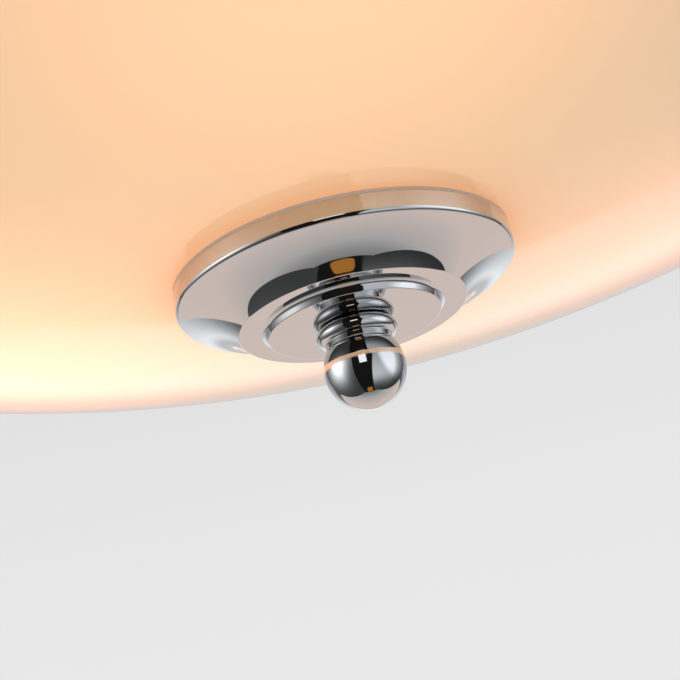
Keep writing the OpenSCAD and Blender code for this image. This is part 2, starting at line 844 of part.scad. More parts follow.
module rosette_gasket() {
    gasket_out = rosette_d / 2 - gap;
    gasket_in = gasket_out - 2.7;
    color("dimgray") rotate_extrude() polygon([
        [gasket_in, rosette_top],
        [gasket_out, rosette_top],
        [gasket_out, glass_under(gasket_out) - seal_slack],
        [gasket_in, glass_under(gasket_in) - seal_slack]
    ]);
}

module rosette() {
    color("lightgray") translate([0, 0, rosette_top])
        rotate_extrude() stepped_pan(rosette_d / 2, rosette_depth, rosette_edge_r, rosette_face_d / 2, rod_hole_r);
}

module finial() {
    ball_r = ball_d / 2;
    ball_z = -bead_h - collar_h - sqrt(ball_r * ball_r - collar_d * collar_d / 4);
    tip_shift = (ball_tip * ball_tip - ball_r * ball_r) / ball_d;
    color("lightgray") translate([0, 0, face_z]) rotate_extrude() difference() {
        union() {
            translate([bead_d / 2 - bead_h / 2, -bead_h / 2]) circle(d = bead_h);
            band(0, bead_d / 2 - bead_h / 2, -bead_h, 0);
            band(0, collar_d / 2, ball_z, 0);
            intersection() {
                translate([0, ball_z]) circle(r = ball_r);
                band(0, ball_r, ball_z, 0);
            }
            intersection() {
                translate([-tip_shift, ball_z]) circle(r = ball_r + tip_shift);
                band(0, ball_r, ball_z - ball_tip, ball_z);
            }
        }
        band(-1, rod_r + thread_fit, -thread_l - 2, 1);
    }
}

// A lead is a tube swept along its route, whose corners are rounded with short curves
function unit(v) = v / norm(v);
function corner(a, p, b) =
    let (
        reach = min(lead_bend, norm(a - p) / 2, norm(b - p) / 2),
        u = p + reach * unit(a - p),
        w = p + reach * unit(b - p)
    )
    [for (k = [0:lead_steps]) let (t = k / lead_steps) (1 - t) * (1 - t) * u + 2 * t * (1 - t) * p + t * t * w];
function route(points) = [
    points[0],
    for (i = [1:len(points) - 2]) each corner(points[i - 1], points[i], points[i + 1]),
    points[len(points) - 1]
];
function heading(line, i) = unit(line[min(i + 1, len(line) - 1)] - line[max(i - 1, 0)]);
function square_to(v, along) = unit(v - (v * along) * along);

module lead(points) {
    line = route(points);
    sides = 8;
    last = len(line) - 1;
    start = abs(heading(line, 0)[0]) > 0.9 ? [0, 1, 0] : [1, 0, 0];
    across = [
        for (i = 0, v = square_to(start, heading(line, 0)); i <= last;
            i = i + 1, v = square_to(v, heading(line, min(i, last)))) v
    ];
    rings = [
        for (i = [0:last]) for (k = [0:sides - 1])
            let (v = across[i], w = cross(heading(line, i), v))
            line[i] + lead_r * (cos(360 * k / sides) * v + sin(360 * k / sides) * w)
    ];
    walls = [
        for (i = [0:last - 1]) for (k = [0:sides - 1])
            let (a = i * sides + k, b = i * sides + (k + 1) % sides)
            each [[a, b, a + sides], [b, b + sides, a + sides]]
    ];
    ends = [
        for (k = [1:sides - 2]) each [[0, k + 1, k], [last * sides, last * sides + k, last * sides + k + 1]]
    ];
    polyhedron(points = rings, faces = [for (f = concat(walls, ends)) [f[0], f[2], f[1]]]);
}

// The feed leads rise from the terminal block, cross to the rod's top and run down its bore
over_z = -4.2;

function feed_route(pole, side, bore, window_z, out) = concat(
    [
        [pole * pole_pitch, -block_offset - 5, block_z],
        [pole * pole_pitch, -block_offset + 1.5, block_z],
        [side * 3.6, -wire_hole_y, bridge_bottom - 1.5],
        [side * 3.6, -wire_hole_y, over_z - 3],
        [side * 2.8, -wire_hole_y + 5, over_z],
        [bore[0], bore[1] - 1.2, over_z],
        [bore[0], bore[1], over_z - 3],
        [bore[0], bore[1], window_z]
    ],
    out
);

module feed_live() {
    pin = feed_pin(-1);
    color("brown") lead(feed_route(-1, -1, [-2, -0.9], lamp_z + 8, [
        [-2.3, 7.5, lamp_z + 6],
        [pin[0], pin[1], lamp_z + 2],
        [pin[0], pin[1], ring_top - pin_depth + 1]
    ]));
}

module feed_neutral() {
    pin = feed_pin(1);
    color("royalblue") lead(feed_route(1, 1, [2, -0.9], lamp_z + 5, [
        [2.3, 7.5, lamp_z + 3],
        [pin[0], pin[1], lamp_z - 1],
        [pin[0], pin[1], ring_top - pin_depth + 1]
    ]));
}

module feed_earth() {
    tag = turned(earth_angle, earth_r, 0);
    color("limegreen") lead(feed_route(0, 0, [0, 2.2], lamp_z + 12, [
        [0, 7.5, lamp_z + 10],
        [tag[0], tag[1], lamp_z + 6],
        [tag[0], tag[1], hub_bottom + hub_floor + 3]
    ]));
}

// A lamp's lead runs from the connector ring through the arm to the holder's core
function lamp_route(i, side) =
    let (angle = first_lamp_angle + 120 * (i - 1))
    [
        for (p = [
            [ring_pin_r, side * ring_pin_side, ring_top - pin_depth + 1],
            [ring_pin_r, side * ring_pin_side, lamp_z],
            [arm_in + lead_r, side * lead_side, lamp_z],
            [arm_out + lead_r + gap, side * lead_side, lamp_z],
            [arm_out + lead_bend + gap, side * post_side, lamp_z],
            [core_back + pin_depth - 1, side * post_side, lamp_z]
        ]) let (at = turned(angle, p[0], p[1])) [at[0], at[1], p[2]]
    ];

module lamp_live_leads() {
    color("brown") for (i = [1:3]) lead(lamp_route(i, 1));
}

module lamp_neutral_leads() {
    color("royalblue") for (i = [1:3]) lead(lamp_route(i, -1));
}

mounting_bracket();
canopy_studs();
canopy();
cap_nuts();
terminal_block();
terminal_clamps();
terminal_screws();
earth_screw();
centre_rod();
rod_top_nut();
rod_lower_nut();
stem_washer();
stem();
hub_cover();
hub_body();
connector_ring();
hub_earth_screw();
hub_washer();
hub_nut();
for (i = [1:3]) arm(i);
arm_nuts();
for (i = [1:3]) holder_cap(i);
for (i = [1:3]) holder_skirt(i);
for (i = [1:3]) holder_core(i);
for (i = [1:3]) screw_shell(i);
centre_contacts();
for (i = [1:3]) bulb_glass(i);
for (i = [1:3]) bulb_cap(i);
for (i = [1:3]) bulb_base(i);
bowl();
bowl_bush();
bowl_gasket();
seat_plate();
stop_nut();
rosette_gasket();
rosette();
finial();
feed_live();
feed_neutral();
feed_earth();
lamp_live_leads();
lamp_neutral_leads();
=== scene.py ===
import math

import bmesh
import bpy
from mathutils import Matrix, Vector


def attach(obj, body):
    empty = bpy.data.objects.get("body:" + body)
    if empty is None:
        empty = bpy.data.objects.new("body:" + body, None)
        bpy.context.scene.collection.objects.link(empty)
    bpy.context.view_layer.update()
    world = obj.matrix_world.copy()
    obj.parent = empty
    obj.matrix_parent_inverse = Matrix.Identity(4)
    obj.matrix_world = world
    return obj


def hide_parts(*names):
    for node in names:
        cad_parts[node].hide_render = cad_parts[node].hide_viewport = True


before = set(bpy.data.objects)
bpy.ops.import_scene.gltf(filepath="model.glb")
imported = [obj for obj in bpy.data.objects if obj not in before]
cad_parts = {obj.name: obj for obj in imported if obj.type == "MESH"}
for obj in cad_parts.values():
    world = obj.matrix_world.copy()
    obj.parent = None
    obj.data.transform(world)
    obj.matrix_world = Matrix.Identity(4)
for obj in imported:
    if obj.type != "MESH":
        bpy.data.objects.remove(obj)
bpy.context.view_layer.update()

# Ceiling light, seen from below. The sections follow the light from the ceiling down, and each
# holds one piece or group of like pieces. Meshes are drawn in millimetres and turned to metres at
# the end.


# ---- Camera --------------------------------------------------------------------------------------
# It stands about half a metre from the finial and 16 centimetres lower, as in the photograph, which
# was taken with a long lens and with the camera leaning to one side.

camera_data = bpy.data.cameras.new("camera")
camera_data.sensor_width = 36
camera_data.lens = 93.97
camera_data.clip_start = 0.02
camera_data.clip_end = 60
camera = bpy.data.objects.new("camera", camera_data)
camera_place = Vector((0, -0.4792, -0.3941))
camera_aim = Vector((-0.00524, 0, -0.22005))
camera_lean = math.radians(-12.67)
camera_turn = (camera_aim - camera_place).to_track_quat("-Z", "Y").to_matrix().to_4x4()
camera.matrix_world = (
    Matrix.Translation(camera_place) @ camera_turn @ Matrix.Rotation(camera_lean, 4, "Z")
)
bpy.context.scene.collection.objects.link(camera)
bpy.context.scene.camera = camera
bpy.context.scene.view_settings.view_transform = "Standard"


# ---- Studio --------------------------------------------------------------------------------------
# A pale floor 1.6 metres below the ceiling and a pale backdrop. Chrome shows nothing but what
# stands round it, so for its rays the world holds a photographer's set: a warm floor, a white wall
# beyond it, dark cloth on the camera's side, and a large soft lamp to the left and to the right.


def hex_colour(code):
    """Linear colour of an sRGB hex value"""
    channels = [int(code[i : i + 2], 16) / 255 for i in (1, 3, 5)]
    linear = [c / 12.92 if c <= 0.04045 else ((c + 0.055) / 1.055) ** 2.4 for c in channels]
    return (*linear, 1)


def add_node(tree, kind, inputs=(), **settings):
    """Adds a shader node, sets it, and fills its inputs with values or with other nodes' outputs"""
    made = tree.nodes.new("ShaderNode" + kind)
    for name, value in settings.items():
        setattr(made, name, value)
    for name, value in dict(inputs).items():
        if isinstance(value, bpy.types.NodeSocket):
            tree.links.new(value, made.inputs[name])
        else:
            made.inputs[name].default_value = value
    return made


def maths(tree, operation, *terms):
    """One step of arithmetic on single values"""
    return add_node(tree, "Math", dict(enumerate(terms)), operation=operation).outputs[0]


def mapped(tree, value, source=(0, 1), target=(0, 1), soft=False):
    """Takes a value from one range to another and stops at its ends, softly or not"""
    return add_node(tree, "MapRange", {
        "Value": value, "From Min": source[0], "From Max": source[1],
        "To Min": target[0], "To Max": target[1],
    }, interpolation_type="SMOOTHSTEP" if soft else "LINEAR").outputs["Result"]


def along(tree, direction, weights):
    """Sum of a direction's parts by their weights"""
    return add_node(tree, "VectorMath", {
        0: direction, 1: weights,
    }, operation="DOT_PRODUCT").outputs["Value"]


def toward(tree, direction, weights, edge, softness):
    """1 on one side of a plane through the light, and 0 on the other, with a soft edge"""
    side = along(tree, direction, weights)
    return mapped(tree, side, (edge - softness, edge + softness), soft=True)


def laid_over(tree, share, under, over):
    """Covers one colour with another where the share is 1"""
    return add_node(tree, "Mix", {"Factor": share, 6: under, 7: over}, data_type="RGBA").outputs[2]


def product(tree, *shares):
    """Where all the shares are 1"""
    result = shares[0]
    for share in shares[1:]:
        result = maths(tree, "MULTIPLY", result, share)
    return result


world = bpy.data.worlds.new("studio")
world.use_nodes = True
tree = world.node_tree
tree.nodes.clear()
sight = add_node(tree, "TexCoord").outputs["Generated"]
axes = add_node(tree, "SeparateXYZ", {"Vector": sight}).outputs

# What the camera sees of the backdrop: neutral grey, a little lighter towards the floor
height = mapped(tree, axes["Z"], (0.16, 0.45), soft=True)
backdrop = laid_over(tree, height, hex_colour("#E9E9E9"), hex_colour("#DEDEDE"))

# Floor as chrome shows it: dim and neutral under the light, paler and warmer towards the wall
reach = mapped(tree, axes["Y"], (-0.12, 0.62))
floor_ramp = add_node(tree, "ValToRGB", {"Fac": reach})
ramp = floor_ramp.color_ramp
ramp.elements[0].color = (0.30, 0.29, 0.285, 1)
ramp.elements[1].color = (0.87, 0.715, 0.645, 1)
for stop, colour in (
    (0.16, (0.38, 0.37, 0.36, 1)),
    (0.40, (0.58, 0.55, 0.53, 1)),
    (0.64, (0.70, 0.61, 0.57, 1)),
    (0.84, (0.77, 0.66, 0.61, 1)),
):
    ramp.elements.new(stop).color = colour
floor_seen = floor_ramp.outputs["Color"]

# Wall beyond the floor, white low behind the light and darker above and to the sides
aside = maths(tree, "MULTIPLY", axes["X"], axes["X"])
depth = maths(tree, "MULTIPLY_ADD", axes["Z"], 10.0, -1.8)
depth = maths(tree, "MINIMUM", depth, -1.0)
fading = maths(tree, "MULTIPLY", aside, depth)
wall_light = maths(tree, "EXPONENT", fading)
upper_part = mapped(tree, axes["Z"], (-0.04, 0.14), (1.0, 0.52), soft=True)
wall_light = product(tree, wall_light, upper_part)
wall = add_node(tree, "VectorMath", {
    0: (1.20, 1.22, 1.25), "Scale": wall_light,
}, operation="SCALE").outputs[0]
above_skirting = toward(tree, sight, (-0.04, 0, 1), -0.285, 0.008)
set_seen = laid_over(tree, above_skirting, floor_seen, wall)

# Dark cloth under and behind the camera: three straight edges on the floor
cloth_near = toward(tree, sight, (0, -1, 0.13), 0, 0.004)
cloth_left = toward(tree, sight, (-0.846, -1, 0.333), 0, 0.004)
cloth_right = toward(tree, sight, (0.819, -1, 0.369), 0, 0.004)
cloth = maths(tree, "MAXIMUM", cloth_near, cloth_left)
cloth = maths(tree, "MAXIMUM", cloth, cloth_right)

# Left soft lamp, brightest at its outer side and fading to the middle and down. The slopes, levels
# and edges here and below are fitted to what the photograph's chrome shows.
left_level = maths(tree, "ADD", along(tree, sight, (-7.0, 0, 2.1)), -6.09)
left_back = maths(tree, "MULTIPLY_ADD", axes["Y"], -2.0, -0.65)
left_back = maths(tree, "MINIMUM", left_back, 0.0)
left_light = maths(tree, "EXPONENT", maths(tree, "ADD", left_level, left_back))
left_light = maths(tree, "ADD", left_light, 0.055)
left_light = maths(tree, "MINIMUM", left_light, 1.8)

# Right soft lamp: an even half, a brighter outer half, and lower and rear edges that fade
lower_edge = along(tree, sight, (0.46, -5.07, 8.0))
lower_edge = maths(tree, "EXPONENT", maths(tree, "SUBTRACT", -3.2, lower_edge))
lower_edge = maths(tree, "ADD", lower_edge, 1.0)
outer = mapped(tree, along(tree, sight, (1, 0, 0.31)), (0.66, 0.90), (0.0, 0.75), soft=True)
inner = maths(tree, "MULTIPLY_ADD", axes["Z"], -0.38, 0.52)
right_back = maths(tree, "MINIMUM", maths(tree, "MULTIPLY", axes["Y"], -3.2), 0.0)
right_back = maths(tree, "EXPONENT", right_back)
right_light = maths(tree, "DIVIDE", maths(tree, "ADD", outer, inner), lower_edge)
right_light = maths(tree, "MULTIPLY_ADD", right_light, right_back, 0.03)
right_light = add_node(tree, "VectorMath", {
    0: (0.98, 1.0, 1.04), "Scale": right_light,
}, operation="SCALE").outputs[0]

# Black gap between the lamps, with a small window high up in it and a warm lamp down on the cloth
gap_left = toward(tree, sight, (1, -0.625, -0.103), 0, 0.008)
gap_right = toward(tree, sight, (1, 0, -0.2), 0.39, 0.02)
lamps_seen = laid_over(tree, gap_right, left_light, right_light)
in_gap = maths(tree, "SUBTRACT", gap_left, gap_right)
in_gap = maths(tree, "MAXIMUM", in_gap, 0.0)
lamps_seen = laid_over(tree, in_gap, lamps_seen, hex_colour("#1C1B1B"))
window = product(
    tree,
    toward(tree, sight, (1, 0, 0), -0.19, 0.01),
    toward(tree, sight, (-1, 0, 0), -0.15, 0.02),
    toward(tree, sight, (0, 0, 1), 0.0, 0.01),
    toward(tree, sight, (0, 0, -1), -0.34, 0.01),
)
lamps_seen = laid_over(tree, window, lamps_seen, (1.3, 1.3, 1.32, 1))
patch_reach = 0.0
for axis, middle, half in (("X", 0.012, 0.108), ("Y", -0.258, 0.104)):
    off = maths(tree, "SUBTRACT", axes[axis], middle)
    off = maths(tree, "DIVIDE", off, half)
    off = product(tree, off, off, off, off)
    patch_reach = maths(tree, "ADD", off, patch_reach)
warm_patch = mapped(tree, patch_reach, (1.5, 0.8), soft=True)
warm_patch = product(tree, warm_patch, toward(tree, sight, (0, 0, -1), 0.5, 0.1))
lamps_seen = laid_over(tree, warm_patch, lamps_seen, hex_colour("#B97A32"))
set_seen = laid_over(tree, cloth, set_seen, lamps_seen)

# Plain light ceiling over all of it
ceiling = toward(tree, sight, (0, 0, 1), 0.55, 0.10)
set_seen = laid_over(tree, ceiling, set_seen, hex_colour("#D6D6D6"))

# Matt surfaces get an even light, and only glossy ones the set
rays = add_node(tree, "LightPath").outputs
shown = laid_over(tree, rays["Is Diffuse Ray"], set_seen, hex_colour("#F2F2F2"))
shown = laid_over(tree, rays["Is Camera Ray"], shown, backdrop)
sky = add_node(tree, "Background", {"Color": shown, "Strength": 1.0})
add_node(tree, "OutputWorld", {"Surface": sky.outputs["Background"]})
bpy.context.scene.world = world


def new_material(name):
    """An empty material, with its tree and the coordinates of its object, in metres"""
    made = bpy.data.materials.new(name)
    made.use_nodes = True
    tree = made.node_tree
    tree.nodes.clear()
    return made, tree, add_node(tree, "TexCoord").outputs["Object"]


def noise(tree, place, scale, detail, **more):
    """Noise whose broadest lumps are about 1 / scale metres wide"""
    inputs = {"Vector": place, "Scale": scale, "Detail": detail, **more}
    return add_node(tree, "TexNoise", inputs).outputs["Fac"]


def surface(tree, inputs, kind="BsdfPrincipled"):
    """Ends a material with its shader"""
    shader = add_node(tree, kind, inputs)
    add_node(tree, "OutputMaterial", {"Surface": shader.outputs["BSDF"]})


# Painted floor, matt, pale and slightly warm
floor_paint, tree, place = new_material("matt_floor_paint")
cloud = noise(tree, place, 1.5, 3)
paint = laid_over(tree, cloud, hex_colour("#EDE3DC"), hex_colour("#F0E8E3"))
surface(tree, {"Color": paint}, "BsdfDiffuse")
floor_z = -1.6
bm = bmesh.new()
bmesh.ops.create_grid(bm, x_segments=1, y_segments=1, size=30)
bmesh.ops.translate(bm, vec=(0, 0, floor_z), verts=bm.verts)
floor_mesh = bpy.data.meshes.new("floor")
bm.to_mesh(floor_mesh)
bm.free()
floor_mesh.materials.append(floor_paint)
floor = bpy.data.objects.new("floor", floor_mesh)
floor.visible_glossy = False
bpy.context.scene.collection.objects.link(floor)

# Soft lamps that light the whole set evenly, and that the metal doesn't show
for name, spot, size, power in (
    ("lamp_above_left", Vector((-2.2, -1.6, 1.4)), 2.0, 26),
    ("lamp_above_right", Vector((2.4, -0.6, 1.6)), 2.0, 20),
    ("lamp_behind", Vector((0.6, 2.6, 1.2)), 2.0, 16),
):
    light_data = bpy.data.lights.new(name, "AREA")
    light_data.size = size
    light_data.energy = power
    light = bpy.data.objects.new(name, light_data)
    light.location = spot
    light.rotation_euler = (Vector((0, 0, -0.15)) - spot).to_track_quat("-Z", "Y").to_euler()
    light.visible_camera = False
    light.visible_glossy = False
    bpy.context.scene.collection.objects.link(light)


# ---- Ceiling bracket -----------------------------------------------------------------------------
# Strap of 2 mm steel, pressed, bent and zinc plated, screwed to the ceiling through its two slots.
# Two screws with their heads on its bridge hang down as studs for the canopy.


def finish_nodes(material, *nodes):
    """Gives CAD pieces their finish"""
    for node in nodes:
        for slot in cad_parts[node].material_slots:
            slot.material = material


def bumped(tree, height, strength, distance):
    """The surface's direction, with the height's lumps in it"""
    return add_node(tree, "Bump", {
        "Height": height, "Strength": strength, "Distance": distance,
    }).outputs["Normal"]


# Zinc-plated steel: dull silver with a faint blue and yellow bloom in patches of some millimetres,
# and the fine crystals of the plating, here 0.5 mm wide so that they show
zinc_steel, tree, place = new_material("zinc_plated_steel")
bloom = noise(tree, place, 120, 2)
tint = laid_over(tree, bloom, hex_colour("#B4B9BC"), hex_colour("#C3C0B4"))
crystals = add_node(tree, "TexVoronoi", {"Vector": place, "Scale": 2000}).outputs["Distance"]
dull = mapped(tree, crystals, (0.0, 0.8), (0.30, 0.42))
pits = bumped(tree, crystals, 0.12, 0.0002)
surface(tree, {
    "Base Color": tint, "Metallic": 1.0, "Roughness": dull, "Normal": pits,
})
finish_nodes(zinc_steel, "mounting_bracket", "canopy_studs")


# ---- Terminal block ------------------------------------------------------------------------------
# White moulded polyamide pegged under the bracket's tab, with a drilled brass clamp and two slotted
# steel screws in each of its three poles. A green screw beside it takes the earth lead.

# Polyamide: milky and matt, with the even grain of a spark-eroded mould, about 0.4 mm apart
polyamide, tree, place = new_material("moulded_polyamide")
grain = noise(tree, place, 2400, 2)
milk = noise(tree, place, 90, 1)
milky = laid_over(tree, milk, hex_colour("#E9E8E2"), hex_colour("#F2F1EC"))
grained = bumped(tree, grain, 0.15, 0.0002)
surface(tree, {
    "Base Color": milky, "Roughness": 0.48, "IOR": 1.53, "Normal": grained,
})
finish_nodes(polyamide, "terminal_block")

# Brass: drawn bar and pressed sheet, yellow with browner patches where the air has reached it
brass, tree, place = new_material("bare_brass")
air = noise(tree, place, 260, 3)
yellow = laid_over(tree, air, hex_colour("#D9BC6E"), hex_colour("#B38C46"))
worn = mapped(tree, air, target=(0.16, 0.38))
surface(tree, {"Base Color": yellow, "Metallic": 1.0, "Roughness": worn})
finish_nodes(brass, "terminal_clamps")

# Screw steel: bright, with turned rings 0.6 mm apart round each screw
screw_steel, tree, place = new_material("turned_screw_steel")
rings = add_node(tree, "TexWave", {
    "Vector": place, "Scale": 530, "Distortion": 1.5, "Detail": 1,
}, wave_type="BANDS", bands_direction="Z").outputs["Fac"]
bright = laid_over(tree, rings, hex_colour("#A9ABAE"), hex_colour("#C4C5C5"))
surface(tree, {"Base Color": bright, "Metallic": 1.0, "Roughness": 0.3})
finish_nodes(screw_steel, "terminal_screws")

# Green lacquer on the earth screws: glossy, with darker and lighter patches about 2 mm wide
green_lacquer, tree, place = new_material("green_lacquer")
flow = noise(tree, place, 500, 2)
green = laid_over(tree, flow, hex_colour("#1E7A38"), hex_colour("#2F9448"))
peel = bumped(tree, flow, 0.08, 0.0003)
surface(tree, {"Base Color": green, "Roughness": 0.22, "IOR": 1.5, "Normal": peel})
finish_nodes(green_lacquer, "earth_screw", "hub_earth_screw")


# ---- Canopy --------------------------------------------------------------------------------------
# Spun brass pan, polished and chromed, that covers the bracket. It is drawn as the rosette is, and
# hangs on the two studs by domed cap nuts.

mm = 0.001


def start_line(r, z):
    """A mesh with the first point of a turned section, at a radius and a height"""
    bm = bmesh.new()
    return bm, bm.verts.new((r, 0, z))


def draw_line(bm, end, r, z):
    """Draws the section on from its end by a straight line"""
    grown = bmesh.ops.extrude_vert_indiv(bm, verts=[end])["verts"][0]
    grown.co = (r, 0, z)
    return grown


def draw_arc(bm, end, centre, turn, steps):
    """Draws the section on by an arc round a centre, anticlockwise for degrees above 0"""
    spun = bmesh.ops.spin(
        bm, geom=[end], cent=(centre[0], 0, centre[1]), axis=(0, -1, 0),
        angle=math.radians(turn), steps=steps, use_duplicate=False,
    )
    return [v for v in spun["geom_last"] if isinstance(v, bmesh.types.BMVert)][0]


def turn_piece(bm, steps):
    """Turns the section round the light's axis into a closed skin"""
    bmesh.ops.remove_doubles(bm, verts=bm.verts, dist=1e-5)
    bmesh.ops.spin(
        bm, geom=[*bm.verts, *bm.edges], cent=(0, 0, 0), axis=(0, 0, 1),
        angle=2 * math.pi, steps=steps, use_merge=True, use_duplicate=False,
    )
    bmesh.ops.remove_doubles(bm, verts=bm.verts, dist=1e-4)
    bmesh.ops.recalc_face_normals(bm, faces=bm.faces)


def make_piece(name, bm, material, body, slot, *nodes):
    """Turns a mesh drawn in millimetres into a piece that rides on a body"""
    bmesh.ops.scale(bm, vec=(mm, mm, mm), verts=bm.verts)
    mesh = bpy.data.meshes.new(name)
    bm.to_mesh(mesh)
    bm.free()
    for face in mesh.polygons:
        face.use_smooth = True
    mesh.materials.append(material)
    piece = bpy.data.objects.new(name, mesh)
    bpy.context.scene.collection.objects.link(piece)
    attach(piece, body)
    if nodes:
        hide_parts(*nodes)
    return piece


def round_corners(bm, corners, radius, segments):
    """Rounds corners of a section, as polishing leaves them"""
    bmesh.ops.bevel(
        bm, geom=corners, offset=radius, offset_type="OFFSET", segments=segments,
        profile=0.5, affect="VERTICES", material=-1,
    )


def hold_lines(bm, distance, shortest=1.0):
    """Adds a point close to both ends of each long straight line, so that flat faces shade flat"""
    for edge in [e for e in bm.edges if e.calc_length() > shortest]:
        first = edge.verts[0]
        rest, near = bmesh.utils.edge_split(edge, first, distance / edge.calc_length())
        far = rest if first in edge.verts else edge
        bmesh.utils.edge_split(far, far.other_vert(near), distance / far.calc_length())


def pan_section(rim_r, depth, edge_r, face_r, hole_r, top, sheet_t=1.0):
    """Section of a spun pan that hangs from a height: wall, edge, hollow, ledge, bevel and face"""
    bevel_h, bevel_w, ledge_w = 2.35, 2.5, 6.3
    cove_r, nose_r = 1.45, 0.35
    bevel_turn, turn_out, turn_in = 70, 16, 46
    bevel, slope_out, slope_in = map(math.radians, (bevel_turn, turn_out, turn_in))
    low = top - depth
    corner = Vector((face_r + bevel_w + ledge_w, low + bevel_h))
    hollow_r = (rim_r - edge_r * (1 - math.sin(slope_out)) - corner.x) / (
        math.sin(slope_in) - math.sin(slope_out)
    )
    hollow_c = corner + hollow_r * Vector((math.sin(slope_in), -math.cos(slope_in)))
    edge_c = hollow_c + (hollow_r + edge_r) * Vector((-math.sin(slope_out), math.cos(slope_out)))
    back_r = hollow_r + sheet_t
    back_turn = 180 - math.degrees(math.asin((corner.y + sheet_t - hollow_c.y) / back_r))
    back_way = Vector((math.cos(math.radians(back_turn)), math.sin(math.radians(back_turn))))
    bm, start = start_line(rim_r, top)
    end = draw_line(bm, start, rim_r, edge_c.y)
    end = draw_arc(bm, end, edge_c, turn_out - 90, steps=16)
    corner_point = draw_arc(bm, end, hollow_c, turn_in - turn_out, steps=48)
    end = draw_line(bm, corner_point, face_r + bevel_w, corner.y)
    end = draw_arc(bm, end, (end.co.x, end.co.z - cove_r), bevel_turn, steps=12)
    down = bevel_h - (cove_r + nose_r) * (1 - math.cos(bevel))
    end = draw_line(bm, end, end.co.x - down / math.tan(bevel), end.co.z - down)
    nose_c = (end.co.x - nose_r * math.sin(bevel), end.co.z + nose_r * math.cos(bevel))
    end = draw_arc(bm, end, nose_c, -bevel_turn, steps=8)
    slant = 0.4 * sheet_t
    for r, z in (
        (hole_r, low),
        (hole_r, low + sheet_t),
        (face_r - slant, low + sheet_t),
        (face_r + bevel_w - slant, corner.y + sheet_t),
        tuple(hollow_c + back_r * back_way),
    ):
        end = draw_line(bm, end, r, z)
    end = draw_arc(bm, end, hollow_c, 90 + turn_out - back_turn, steps=24)
    end = draw_arc(bm, end, edge_c, 90 - turn_out, steps=8)
    end = draw_line(bm, end, rim_r - sheet_t, top)
    draw_line(bm, end, rim_r, top)
    return bm, [corner_point]


# Bright chrome: nickel under chromium on polished brass. A mirror with the slight waves of the spun
# sheet, a bluish cast, and roughness that changes a little where cloths and fingers went.
chrome, tree, place = new_material("bright_chrome")
smears = noise(tree, place, 60, 4, Roughness=0.6)
rough = mapped(tree, smears, (0.35, 0.75), (0.015, 0.05))
wavy = bumped(tree, noise(tree, place, 90, 1), 0.012, 0.002)
surface(tree, {
    "Base Color": hex_colour("#D1D3D5"), "Metallic": 1.0,
    "Roughness": rough, "Normal": wavy,
})

bm, corners = pan_section(rim_r=71, depth=34, edge_r=2, face_r=40, hole_r=8.5, top=0)
round_corners(bm, corners, radius=0.25, segments=4)
hold_lines(bm, distance=0.08)
turn_piece(bm, steps=192)
make_piece("canopy_pan", bm, chrome, "fixed_frame", "chrome", "canopy")
finish_nodes(chrome, "cap_nuts")


# ---- Rod and stem --------------------------------------------------------------------------------
# Threaded steel tube from the bracket down to the finial, with a nut above and below the bridge.
# Thin chromed brass tube goes round its upper part, between a washer and the hub.

finish_nodes(zinc_steel, "rod_top_nut", "rod_lower_nut", "stem_washer")

# The rod's skin has a ring every sixth of a millimetre, and the 1 mm thread is cut into it
rod_r, rod_bore_r = 5, 3.5
rod_top, rod_bottom = -7, -229.745
thread_pitch, thread_depth = 1.0, 0.54
rings_per_turn, point_h = 6, 0.7
rings = round((rod_top - rod_bottom) * rings_per_turn / thread_pitch)
bm, end = start_line(rod_r, rod_bottom)
for k in range(1, rings + 1):
    end = draw_line(bm, end, rod_r, rod_bottom + (rod_top - rod_bottom) * k / rings)
end = draw_line(bm, end, rod_bore_r, rod_top)
end = draw_line(bm, end, rod_bore_r, rod_bottom)
draw_line(bm, end, rod_r, rod_bottom)
turn_piece(bm, steps=24)
for v in bm.verts:
    if v.co.xy.length > rod_r - 0.1:
        turns = v.co.z / thread_pitch - math.atan2(v.co.y, v.co.x) / (2 * math.pi)
        groove = 1 - abs(2 * (turns % 1) - 1)
        point = max(0.0, 1 - min(rod_top - v.co.z, v.co.z - rod_bottom) / point_h)
        v.co.xy *= 1 - thread_depth * max(groove, point) / rod_r
rod = make_piece("threaded_rod", bm, zinc_steel, "fixed_frame", "zinc_steel", "centre_rod")

# Window milled into the rod inside the hub, where the leads come out
window_reach, window_h, window_z = 10, 14, -123
bm = bmesh.new()
bmesh.ops.create_cube(bm, size=mm)
bmesh.ops.scale(bm, vec=(2 * rod_bore_r, window_reach, window_h), verts=bm.verts)
bmesh.ops.translate(bm, vec=(0, window_reach / 2 * mm, window_z * mm), verts=bm.verts)
mill_mesh = bpy.data.meshes.new("mill")
bm.to_mesh(mill_mesh)
bm.free()
mill = bpy.data.objects.new("mill", mill_mesh)
bpy.context.scene.collection.objects.link(mill)
milling = rod.modifiers.new("window", "BOOLEAN")
milling.object = mill
milling.operation = "DIFFERENCE"
milling.solver = "EXACT"
bpy.context.view_layer.update()
depsgraph = bpy.context.evaluated_depsgraph_get()
milled = bpy.data.meshes.new_from_object(rod.evaluated_get(depsgraph))
rod.modifiers.clear()
rod.data = milled
bpy.data.objects.remove(mill)

stem_r, stem_wall = 8, 1
stem_top, hub_top = -22.5, -112
stem_bore_r = stem_r - stem_wall
bm, end = start_line(stem_r, stem_top)
for r, z in ((stem_r, hub_top), (stem_bore_r, hub_top), (stem_bore_r, stem_top)):
    end = draw_line(bm, end, r, z)
draw_line(bm, end, stem_r, stem_top)
bmesh.ops.remove_doubles(bm, verts=bm.verts, dist=1e-5)
round_corners(bm, list(bm.verts), radius=0.2, segments=3)
hold_lines(bm, distance=0.1)
turn_piece(bm, steps=96)
make_piece("stem_tube", bm, chrome, "fixed_frame", "chrome", "stem")


